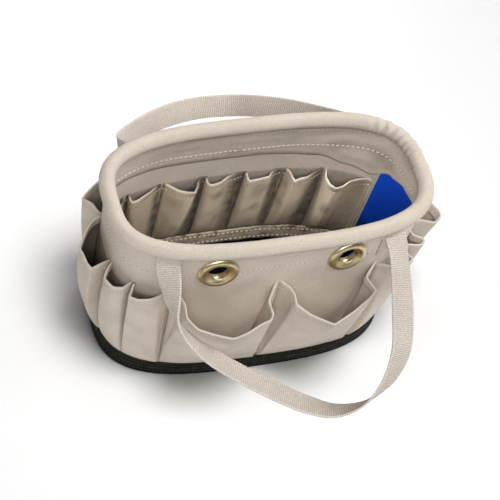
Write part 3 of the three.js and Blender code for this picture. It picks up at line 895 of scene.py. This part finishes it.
# pockets: lip rows are along, out, foot along and, where given, bow; belly and bow push the cloth out at half height
pocketLook = {
    "foot": 20.5,
    "footOut": 1.9,
    "cloth": 1.0,
    "step": 1.9,  # width of a column
    "rise": 3.4,  # height of a row
    "lipRise": 1.4,  # the same near the lip
    "lipZone": 4.0,  # mm below the hem where those rows begin
    "fold": 1.15,
    "foldRows": 5,
    "hem": 11.0,
    "hemRows": 4,
    "lipRows": 6,  # the cloth's slope at the lip is taken over these
    "stitchDown": 9.0,
    "dent": (0.3, 2.0, 0.35, 1.3),  # how far the hem stands out, over, how deep the stitches pull in, how wide
    "slack": 0.32,  # under 1 the lip turns its corners more sharply
    "sag": 0.7,  # under 1 the cloth bulges lower down
    "swell": 1.0,  # under 1 the pleats deepen sooner above the foot
    "pinch": 0.0,  # mm above the foot that the tape holds flat
    "freeOut": 14.0,  # mm out from the wall where the cloth hangs free
    "ripple": (0.65, 0.28),
    "rippleSize": (34, 12),
    "lip": 0.6,  # how much wear and painted highlight the lip has
    "hemWearAndHighlight": 0.2,
    "ridgeHighlight": (0.8, 1.3),  # how strong the painted highlight down a sharp fold is, how wide
    "line": (0.3, 1.2),  # how dark the stitched line is, how wide
    "footLine": (0.5, 4.0),
    "footShade": 0.0,
    "footRise": 45.0,  # mm above the foot that its painted shade reaches
    "darkBlotch": (0.12, 1.7, 21),  # random darker blotches: how dark, contrast, how wide
    "valley": (5.0, 11.0),  # how wide the strips of painted shade beside the seams are
    "paintedShade": 0.6,
    "edge": 1.0,  # over 1 the strips end more sharply
    "ridge": None,  # along and out of a sharp fold in the lip, given a painted highlight down its length
    "inner": None,  # material of the inside, where it is another
}
outerLips = {
    "front_pocket_left": (157, 1.5, [
        (-112.8, 0.0, -112.8), (-103, 17, -113, -4), (-101.2, 33, -113, -8), (-92, 44.5, -104, -5),
        (-80, 49.5, -88), (-59.5, 55.5, -62), (-45, 52, -46), (-30, 45, -26), (-18, 41, -6), (-14.5, 35, -3),
        (-15.5, 21, -6), (-6, 7, -17), (-0.2, 0.0, -26)]),
    "front_pocket_right": (157, 1.5, [
        (0.2, 0.0, 0.2), (9, 9, 1), (11.5, 18.5, 2), (10.5, 28.5, 3), (23, 42, 14), (46.5, 55, 50),
        (52, 53, 58), (69, 46.5, 78), (90, 36, 100), (98, 30, 109), (95, 13, 101), (112.8, 0.0, 87)]),
    "left_pocket_1": (150, 2.5, [
        (-154.8, 0.0, -154.8), (-153.4, 9, -154.6), (-152, 18, -154.4), (-144, 18, -149),
        (-132, 12.5, -125, 3), (-126, 7.5, -116.5, 6), (-121.5, 3.5, -114, 1), (-113.2, 0.0, -113.2)]),
    "left_pocket_2": (150, 4.0, [
        (-189.8, 0.0, -189.8), (-184, 8, -189), (-177, 18, -187.5), (-166.5, 18.5, -176),
        (-158.8, 11.5, -158, 1), (-157.5, 6, -155.6), (-155.2, 0.0, -155.2)]),
    "left_pocket_3": (150, 10.0, [
        (-249.8, 0.0, -249.8), (-243, 8, -248), (-228, 19, -238), (-213, 28, -219), (-205, 26.5, -207),
        (-194, 25.5, -195), (-188, 23, -192), (-189.3, 8.5, -191), (-190.2, 0.0, -190.2)]),
    "left_pocket_4": (150, 7.0, [
        (-315.8, 0.0, -315.8), (-302, 13, -309), (-285, 23, -291), (-275, 23, -278), (-263, 24, -264),
        (-260, 12, -253), (-254, 5, -251), (-250.2, 0.0, -250.2)]),
    "right_pocket_2": (150, 3.0, [
        (155.2, 0.0, 155.2), (161.5, 4.5, 158), (168, 18, 165), (172.5, 21, 170), (176, 19, 174),
        (177, 7, 179), (189.8, 0.0, 189.8)]),
    "right_pocket_3": (150, 3.0, [
        (190.2, 0.0, 190.2), (193.5, 16, 191), (193, 34, 192.5), (200.5, 45.5, 198), (207, 46.5, 206),
        (217, 38.5, 222), (232, 20, 240), (249.8, 0.0, 249.8)]),
    "back_pocket_right": (157, 4.0, [
        (316.2, 0.0, 316.2), (326, 17, 319), (342, 29, 336), (370, 34, 370), (398, 29, 404), (414, 17, 421),
        (backMiddle - 0.2, 0.0, backMiddle - 0.2)]),
}


def mirrorLip(name):
    top, belly, rows = outerLips[name]
    return top, belly, [(-row[0], row[1], -row[2], *row[3:]) for row in reversed(rows)]


outerLips["right_pocket_1"] = mirrorLip("left_pocket_1")
outerLips["right_pocket_4"] = mirrorLip("left_pocket_4")
outerLips["back_pocket_left"] = mirrorLip("back_pocket_right")


def innerFace(along, high, out):
    return wallSpot(backMiddle - along, high, -bag["cloth"] - out)


def bell(far, wide):
    return exp(-(far / wide) ** 2)


def pocketPanel(name, top, belly, rows, face, look, material, seed):
    smooth = smoothRun([(*row, 0.0)[:4] for row in rows], look["slack"])
    columns = round(evenRun(smooth, 1, 2)[1] / look["step"])
    run, length = evenRun(smooth, columns, 2)
    tall = top - look["foot"]
    nearLip = look["hem"] + look["lipZone"]
    coarse, fine = round((tall - nearLip) / look["rise"]), round(nearLip / look["lipRise"])
    rises = [(tall - nearLip) * k / coarse for k in range(coarse)]
    rises += [tall - nearLip + nearLip * k / fine for k in range(fine + 1)]
    panelRows, foldRows, hemRows = len(rises) - 1, look["foldRows"], look["hemRows"]

    def panelSpot(i, rise):
        along, out, foot, bow = run[i]
        part, above = rise / tall, rise - tall + look["stitchDown"]  # above the stitched line
        where = mix(foot, along, part)
        high = mix(look["foot"], look["foot"] + sqrt(max(tall ** 2 - out ** 2, 1.0)), part)
        held = min(1.0, max(out, 0.0) / look["freeOut"])
        free = max(rise - look["pinch"], 0.0) / (tall - look["pinch"])
        here = mix(look["footOut"], max(out, -0.1), free ** look["swell"])
        here += (belly * held + bow) * sin(pi * free ** look["sag"])
        waves = zip(look["ripple"], look["rippleSize"], (seed, seed + 1))
        here += ripples(face(where, high, here), waves) * held * ease(part * 3)
        proud, over, deep, wide = look["dent"]
        here += held * (proud * ease(above / over) - deep * bell(above, wide))
        return face(where, high, here)

    grid = [[panelSpot(i, rise) for rise in rises] for i in range(columns + 1)]
    aways, ups = [], []
    for i in range(columns + 1):
        across = grid[min(i + 1, columns)][-1] - grid[max(i - 1, 0)][-1]
        ups.append((grid[i][-1] - grid[i][-look["lipRows"]]).normalized())
        aways.append(across.cross(ups[-1]).normalized())
    fold = look["fold"] * mm
    ridge = 2 * columns  # past the end where there is none
    if look["ridge"]:
        ridge = min(range(columns + 1), key=lambda i: dist(run[i][:2], look["ridge"]))

    def spot(i, j):
        if j <= panelRows:
            return grid[i][j]
        if j <= panelRows + foldRows:
            turn = pi * (j - panelRows) / foldRows
            return grid[i][-1] + ups[i] * sin(turn) * fold - aways[i] * (1 - cos(turn)) * fold
        down = (j - panelRows - foldRows) / hemRows * look["hem"]
        return panelSpot(i, tall - down) - aways[i] * 2 * fold

    # lip and sharp folds lightened: wear and painted highlight
    def worn(i, j):
        if j > panelRows + foldRows:
            return look["hemWearAndHighlight"]
        much, wide = look["ridgeHighlight"]
        return max(look["lip"] * ease((j - panelRows + 2) / 2), much * bell((i - ridge) * length / columns, wide))

    # painted shade beside the seams and towards the foot, a darker stitched line, random dark blotches
    def sunk(i, j):
        near = min(step * length / columns / wide for step, wide in zip((i, columns - i), look["valley"]))
        rise = rises[min(j, panelRows)]
        dark, wide = look["line"]
        line = dark * bell(tall - rise - look["stitchDown"], wide) if j <= panelRows else 0.0
        dark, wide = look["footLine"]
        foot = max(look["footShade"] * ease(1 - rise / look["footRise"]), dark * ease(1 - rise / wide))
        darkBlotch = darkBlotches(grid[i][min(j, panelRows)], *look["darkBlotch"], seed + 2)
        return max(look["paintedShade"] * ease(look["edge"] * (1 - near)), line, foot, darkBlotch)

    flat = (length * mm, (tall + look["hem"] + pi * look["fold"]) * mm)
    span = (flat[0] / mm, flat[1] / mm)
    mesh = clothGrid(columns, panelRows + foldRows + hemRows, spot, span, worn, sunk)
    piece = finishPiece(name + "_cloth", mesh, material, (name,), look["cloth"], look["inner"])
    points = [panelSpot(i, tall - look["stitchDown"]) for i in range(columns + 1)]
    return spotsAlong(points, aways, hemStitch["pitch"]), grid, aways


ownLooks = {
    "front_pocket_left": {"valley": (4.0, 4.0), "paintedShade": 0.35},
    "front_pocket_right": {"valley": (5.0, 4.0), "paintedShade": 0.35},
    "left_pocket_1": {"valley": (5.0, 19.0), "paintedShade": 0.75, "inner": shadedCanvas},
    "left_pocket_2": {"inner": shadedCanvas},
    "left_pocket_3": {"inner": shadedCanvas},
    "right_pocket_3": {"slack": 0.85},
}
outerSeed, innerSeed = 20, 50
seamShown = {"pocket": "left_pocket_1", "column": -5, "from": 4}  # its right seam shows a row of stitches
outerStitches = []
for number, (name, (top, belly, rows)) in enumerate(outerLips.items()):
    look = dict(pocketLook, **ownLooks.get(name, {}))
    spots, grid, aways = pocketPanel(name, top, belly, rows, wallSpot, look, canvas, outerSeed + number)
    outerStitches += spots
    if name == seamShown["pocket"]:
        seam = grid[seamShown["column"]][seamShown["from"]:]
        outerStitches += spotsAlong(seam, [aways[seamShown["column"]]] * len(seam), hemStitch["pitch"])
stitchRow("pocketStitches", outerStitches, hemStitch, thread)
print("outside pockets made")

innerLook = dict(
    pocketLook,
    foot=18.0,
    footOut=0.9,
    cloth=0.95,
    step=1.6,
    hem=10.0,
    stitchDown=8.0,
    slack=0.6,
    sag=0.95,
    swell=0.38,
    pinch=9.5,
    ripple=(1.5, 0.6),
    lip=1.0,
    line=(0.4, 1.2),
    footShade=0.45,
    darkBlotch=(0.45, 1.7, 21),
    valley=(6.0, 28.0),
    paintedShade=1.0,
    edge=1.45,
)
innerTop, innerBelly = 135, 3.5
innerSeams = [-214, -170, -126, -83, -33, 13, 58, 106, 166]
innerLips = [  # along from the back middle, in, foot along
    [(-212, 7, -212), (-203, 11, -204), (-187, 7, -187)],
    [(-170, 7, -169), (-160, 11.5, -160), (-142, 9, -142)],
    [(-127.5, 5, -126), (-128.5, 10.5, -125.5), (-121.5, 12.6, -119), (-101, 7.8, -99), (-90, 3, -88)],
    [(-78, 4.7, -80), (-69, 13.2, -76), (-58.6, 18.3, -71), (-50.6, 19.8, -67.5), (-49.2, 19.5, -66),
     (-48, 17.6, -63), (-44, 13.0, -55), (-42.3, 7.6, -49), (-37, 1.7, -39)],
    [(-33.8, 6.2, -33), (-33, 11.5, -32.5), (-28, 14, -28), (-19, 12.2, -19), (-5.6, 4.8, -3), (4, 2.1, 5)],
    [(12.6, 9.9, 13.5), (15, 13.3, 16), (22.3, 12.9, 23), (32, 11.5, 33), (39.3, 10.4, 42), (43.4, 5.6, 48),
     (50, 1.5, 54)],
    [(62.7, 6, 62), (64.6, 13.9, 64.5), (67.4, 17.8, 67.5), (74, 15.6, 73), (84, 13.3, 82), (89, 10.8, 87),
     (97, 5.3, 95)],
    [(104.7, 12.8, 106.5), (109.4, 22.4, 110), (119, 27, 117), (130.4, 22.9, 128), (137.6, 15.5, 136),
     (150, 7, 149), (160, 1.5, 160)],
]
innerOwn = {
    3: {"valley": (6.0, 18.0)},
    4: {"ridge": (-49.2, 19.5)},
    6: {"valley": (3.0, 25.0)},
    7: {"valley": (6.0, 35.0)},
    8: {"valley": (4.0, 40.0), "paintedShade": 0.4, "footShade": 0.85, "footRise": 75.0},
}
seamRows = {"alongs": (159.5, 164.0), "low": 30, "tall": 100, "out": 1.7}  # double row down the right seam
innerStitches = []
for number, middle in enumerate(innerLips):
    name = "inner_pocket_%d" % (number + 1)
    start, end = innerSeams[number] + 0.2, innerSeams[number + 1] - 0.2
    rows = [(start, 0.0, start), *middle, (end, 0.0, end)]
    look = dict(innerLook, **innerOwn.get(number + 1, {}))
    innerStitches += pocketPanel(name, innerTop, innerBelly, rows, innerFace, look, lining, innerSeed + number)[0]
for along in seamRows["alongs"]:
    points = [innerFace(along, seamRows["low"] + k, seamRows["out"]) for k in range(seamRows["tall"])]
    innerStitches += spotsAlong(points, [-wallOut(backMiddle - along)] * len(points), hemStitch["pitch"])
stitchRow("innerStitches", innerStitches, hemStitch, thread)

# tape along the foot of the inside pockets
bindingLook = {
    "low": 5.0,
    "top": 28.5,
    "columns": 240,
    "rows": 12,
    "thick": 1.6,
    "out": 5.6,
    "crown": 0.9,
    "ripples": [(0.7, 13, 70), (0.4, 5, 71)],
    "rubbed": 0.6,
    "darkBlotch": (0.85, 1.7, 7, 72),  # how dark, contrast, how wide, seed
    "edge": 0.3,  # how dark beside its edges
    "stitchHeights": (11.5, 24.2),
    "stitchSteps": 500,
}


def makeBinding(look):
    start, end = innerSeams[0], innerSeams[-1]

    def tapeSpot(along, high):
        part = (high - look["low"]) / (look["top"] - look["low"])
        swell = look["crown"] * sin(pi * part) + ripples(innerFace(along, high, 0), look["ripples"])
        return innerFace(along, high, look["out"] + swell)

    def spot(i, j):
        return tapeSpot(mix(start, end, i / look["columns"]), mix(look["low"], look["top"], j / look["rows"]))

    def sunk(i, j):
        return darkBlotches(spot(i, j), *look["darkBlotch"]) + (look["edge"] if j in (1, look["rows"] - 1) else 0.0)

    span = (end - start, look["top"] - look["low"])
    mesh = clothGrid(look["columns"], look["rows"], spot, span, wearAndHighlightRows(look, 0, look["rows"]), sunk)
    finishPiece("innerBinding", mesh, lining, ("inner_binding",), look["thick"])
    alongs = [mix(start, end, part) for part in evenParts(look["stitchSteps"])]
    aways = [-wallOut(backMiddle - along) for along in alongs]
    for number, high in enumerate(look["stitchHeights"]):
        points = [tapeSpot(along, high) for along in alongs]
        stitchedLine("bindingStitches%d" % (number + 1), points, aways, tapeStitch)


makeBinding(bindingLook)

# blue panel inside the right end
endPanel = {
    "from": 172.0,
    "to": 261.0,
    "low": 5.0,
    "columns": 60,
    "rows": 60,
    "thick": 0.9,
    "inside": 1.2,  # in from the wall
    "underHem": 1.0,
    "tall": 150.0,
    "dark": (85.0, 25.0),  # painted shade: darker below this height, in full after
}


def makeEndPanel(look):
    def spot(i, j):
        along = mix(look["to"], look["from"], i / look["columns"])
        high = mix(look["low"], hemEdge(along) - look["underHem"], j / look["rows"])
        return liningSpot(along, high, look["inside"])

    # painted shade on the lower part
    def sunk(i, j):
        top, soft = look["dark"]
        return ease((top - spot(i, j).z / mm) / soft)

    mesh = clothGrid(look["columns"], look["rows"], spot, (look["to"] - look["from"], look["tall"]), None, sunk)
    panel = finishPiece("endPanel", mesh, blueCloth, ("blue_end_panel",), look["thick"])
    panel.visible_diffuse = False  # keeps its blue off the cloth beside it


makeEndPanel(endPanel)
print("inside pockets made")

# brass eyelets
eyeletLook = {
    "steps": 72,
    "out": 0.3,
    "rows": [  # radius, out of the wall
        (11.2, -6.2), (11.2, 0.2), (11.3, 0.8), (11.6, 1.2), (12.1, 1.4), (12.8, 1.6), (13.8, 2.2),
        (15.2, 3.0), (16.8, 3.5), (18.2, 3.5), (19.6, 3.1), (20.8, 2.2), (21.6, 1.2), (22.0, 0.4),
        (21.7, 0.0), (12.0, 0.0), (12.0, -4.8), (16.6, -4.8), (17.0, -5.3), (16.4, -6.1),
    ],
}


def makeEyelet(name, along, node, look):
    mesh = bmesh.new()
    verts = [mesh.verts.new((radius * mm, 0, out * mm)) for radius, out in look["rows"]]
    edges = [mesh.edges.new(pair) for pair in zip(verts, verts[1:] + verts[:1])]
    around = {"axis": (0, 0, 1), "angle": 2 * pi, "steps": look["steps"]}
    bmesh.ops.spin(mesh, geom=verts + edges, cent=(0, 0, 0), use_merge=True, **around)
    bmesh.ops.remove_doubles(mesh, verts=mesh.verts[:], dist=tiny)
    bmesh.ops.recalc_face_normals(mesh, faces=mesh.faces[:])
    high = grommet["high"]
    up = (wallSpot(along, high + 1, 0) - wallSpot(along, high - 1, 0)).normalized()
    away = wallOut(along)
    away = (away - up * away.dot(up)).normalized()
    turn = Matrix((up.cross(away), up, away)).transposed().to_4x4()
    place = Matrix.Translation(wallSpot(along, high, look["out"]))
    bmesh.ops.transform(mesh, matrix=place @ turn, verts=mesh.verts[:])
    finishPiece(name, mesh, brass, (node,))


makeEyelet("eyeletLeft", -grommet["along"], "grommet_left", eyeletLook)
makeEyelet("eyeletRight", grommet["along"], "grommet_right", eyeletLook)

# webbing handles: centre, then the direction across
handleLook = {
    "wide": 25.4,
    "thick": 2.0,
    "sewn": (210.5, 200.5),  # heights of the sewn ends
    "sewnOut": 1.9,
    "along": 123.0,
    "columns": 300,
    "rows": 12,
    "crown": 0.5,
    "twist": (0.5, 45, 12),  # a row of ripples
    "rubbed": 0.9,
}
frontHandle = [
    (-124, -88, 183, 0.6, -0.7, 0.4), (-121, -110, 160, 0, -0.87, 0.5), (-105, -133, 144, -0.33, -0.86, 0.38),
    (-76, -146, 121, -0.47, -0.86, 0.22), (-45, -161, 105, -0.48, -0.86, 0.18), (-15, -176, 93, -0.44, -0.89, 0.12),
    (13, -190, 85, -0.38, -0.9, 0.2), (43, -202, 83, -0.35, -0.83, 0.45), (72, -205, 95, -0.44, -0.58, 0.68),
    (95, -196, 118, -0.7, -0.25, 0.67), (111, -175, 141, -0.89, 0.02, 0.45), (119, -144, 158, -0.97, 0.05, 0.23),
    (123, -114, 175, -0.96, -0.13, 0.24), (124, -87, 193, -0.93, -0.3, 0.2),
]
backHandle = [
    (-131, 92, 178, 0.45, 0.75, 0.48), (-120, 123, 149, -0.12, 0.71, 0.7), (-97, 149, 132, -0.12, 0.63, 0.76),
    (-69, 172, 117, -0.07, 0.62, 0.78), (-38, 191, 104, -0.1, 0.7, 0.71), (-2, 203, 95, -0.06, 0.82, 0.57),
    (35, 203, 94, 0.13, 0.88, 0.45), (66, 187, 108, 0.3, 0.86, 0.4), (94, 165, 123, 0.36, 0.78, 0.5),
    (118, 139, 139, 0.3, 0.7, 0.62), (129, 111, 163, 0.02, 0.7, 0.71), (128, 88, 188, -0.55, 0.68, 0.48),
]


def makeHandle(name, stations, start, end, node, look):
    facing = 1 if stations[0][1] > 0 else -1

    def sewnRow(along, high, sign):
        away = wallOut(along)
        return (*(wallSpot(along, high, look["sewnOut"]) / mm), -away.y * sign, away.x * sign, 0.0)

    first = [sewnRow(start, high, -facing) for high in look["sewn"]]
    last = [sewnRow(end, high, facing) for high in reversed(look["sewn"])]
    run, length = evenRun(smoothRun(first + stations + last), look["columns"], 3)
    centres = [Vector(row[:3]) for row in run]

    def spot(i, j):
        tangent = (centres[min(i + 1, look["columns"])] - centres[max(i - 1, 0)]).normalized()
        across = Vector(run[i][3:])
        across = (across - tangent * across.dot(tangent)).normalized()
        part = 2 * j / look["rows"] - 1
        lift = look["thick"] / 2 - look["crown"] * part * part + ripples(centres[i] * mm, [look["twist"]]) * part
        return (centres[i] + across * part * look["wide"] / 2 + tangent.cross(across) * lift) * mm

    rubbed = wearAndHighlightRows(look, 0, look["rows"])
    mesh = clothGrid(look["columns"], look["rows"], spot, (length, look["wide"]), rubbed)
    finishPiece(name, mesh, webbing, (node,), look["thick"])


nearEnd, farEnd = handleLook["along"], backMiddle - handleLook["along"]
makeHandle("frontHandle", frontHandle, -nearEnd, nearEnd, "handle_front", handleLook)
makeHandle("backHandle", backHandle, -farEnd, farEnd, "handle_back", handleLook)

# bar tack beside the right handle
barTack = {"along": 107.0, "from": 172, "to": 200, "out": 0.2}
tackStitch = {"long": 4.0, "thick": 0.8, "proud": 0.2, "pitch": 3.1, "lean": 64}
points = [wallSpot(barTack["along"], high, barTack["out"]) for high in range(barTack["from"], barTack["to"] + 1)]
spots = spotsAlong(points, [wallOut(barTack["along"])] * len(points), tackStitch["pitch"])
stitchRow("barTack", spots, tackStitch, brownThread)
print("eyelets and handles made")

# studio: pale floor, soft light
studio = {
    "floor": (0.93, 0.93, 0.93),
    "floorHalf": 6.0,
    "floorRoughness": 0.9,
    "sky": 0.12,
    "warm": (1.0, 0.96, 0.89),  # lamp colour inside the bag and its front pockets
    "middle": (0, 0, 0.12),
    "inside": ("inner", "binding", "floorPad"),  # names of the pieces inside begin so
    "away": 2.4,
    "lights": [  # name, degrees round from the front, degrees up, size, watts, what it lights
        ("floorFront", 10, 50, 0.9, 6.3, "floor"),
        ("floorSide", 85, 62, 0.9, 5.5, "floor"),
        ("floorRight", 35, 82, 0.9, 19.5, "floor"),
        ("floorTop", 10, 82, 0.9, 26, "floor"),
        ("floorBack", 230, 73, 0.9, 6.3, "floor"),
        ("frontSoftbox", -28, 47, 0.9, 21, "outside"),
        ("rightSoftbox", 20, 64, 0.9, 20, "outside"),
        ("sideSoftbox", 87, 38, 0.9, 28, "outside"),
        ("leftSoftbox", -72, 32, 1.1, 7, "outside"),
        ("backSoftbox", 160, 35, 0.9, 26, "outside"),
        ("insideRake", -108, 54, 0.9, 98, "inside"),
        ("insideRight", 45, 52, 0.9, 25, "inside"),
        ("insideFront", -34, 52, 0.9, 34, "inside"),
        ("hemSoftbox", -82, 42, 0.9, 14, "hem"),
    ],
    "narrow": [  # name, place, aim, size, watts, spread in degrees, what it lights
        ("farLamp", (0.0, 0.75, 1.6), (-0.08, 0.65, 0.0), 0.5, 0.6, 46.0, "floor"),  # whitens the floor behind
        ("pocketLamp", (0.0, -0.5, 0.42), (0.01, -0.085, 0.075), 0.1, 0.017, 24.0, "wall"),  # opens the front pockets
    ],
}


def makeFloor(look):
    mesh = bmesh.new()
    bmesh.ops.create_grid(mesh, x_segments=1, y_segments=1, size=look["floorHalf"])
    material, tree, shader = newMaterial("paleFloor")
    feed(tree, shader, {"Base Color": look["floor"], "Roughness": look["floorRoughness"]})
    floor = newObject("studioFloor", mesh, material)
    floor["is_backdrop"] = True
    return floor


def makeStudio(look):
    world = bpy.data.worlds.new("studioWorld")
    bpy.context.scene.world = world
    world.use_nodes = True
    sky = world.node_tree.nodes["Background"]
    feed(world.node_tree, sky, {"Color": (1, 1, 1), "Strength": look["sky"]})
    groups = ("floor", "outside", "inside", "hem", "wall")
    lit = {what: bpy.data.collections.new("lit" + what.title()) for what in groups}
    lit["floor"].objects.link(makeFloor(look))
    shading = bpy.data.collections.new("floorShading")  # the straps throw no shadow on the floor
    for piece in pieces:
        lit["inside" if piece.name.startswith(look["inside"]) else "outside"].objects.link(piece)
        if piece.name.startswith("hem"):
            lit["hem"].objects.link(piece)
        if piece.name == "canvasWall":
            lit["wall"].objects.link(piece)
        if not piece.name.endswith("Handle"):
            shading.objects.link(piece)
    blockers = {"floor": shading, "wall": lit["wall"]}

    def addLamp(name, place, aim, size, power, spread, what):
        lamp = bpy.data.lights.new(name, "AREA")
        lamp.shape = "DISK"
        lamp.size = size
        lamp.energy = power
        lamp.spread = radians(spread)
        if what in ("inside", "wall"):
            lamp.color = look["warm"]
        light = bpy.data.objects.new(name, lamp)
        light.location = place
        light.rotation_euler = (aim - place).to_track_quat("-Z", "Y").to_euler()
        bpy.context.scene.collection.objects.link(light)
        light.light_linking.receiver_collection = lit[what]
        if what in blockers:
            light.light_linking.blocker_collection = blockers[what]

    middle = Vector(look["middle"])
    for name, turn, rise, size, power, what in look["lights"]:
        addLamp(name, middle + skyward(turn, rise) * look["away"], middle, size, power, 180, what)
    for name, place, aim, size, power, spread, what in look["narrow"]:
        addLamp(name, Vector(place), Vector(aim), size, power, spread, what)
    bpy.context.scene.view_settings.view_transform = "Standard"


makeStudio(studio)
print("studio made")

bounds = [[list(map(float, corner)) for corner in box] for box in (cadBox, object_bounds())]
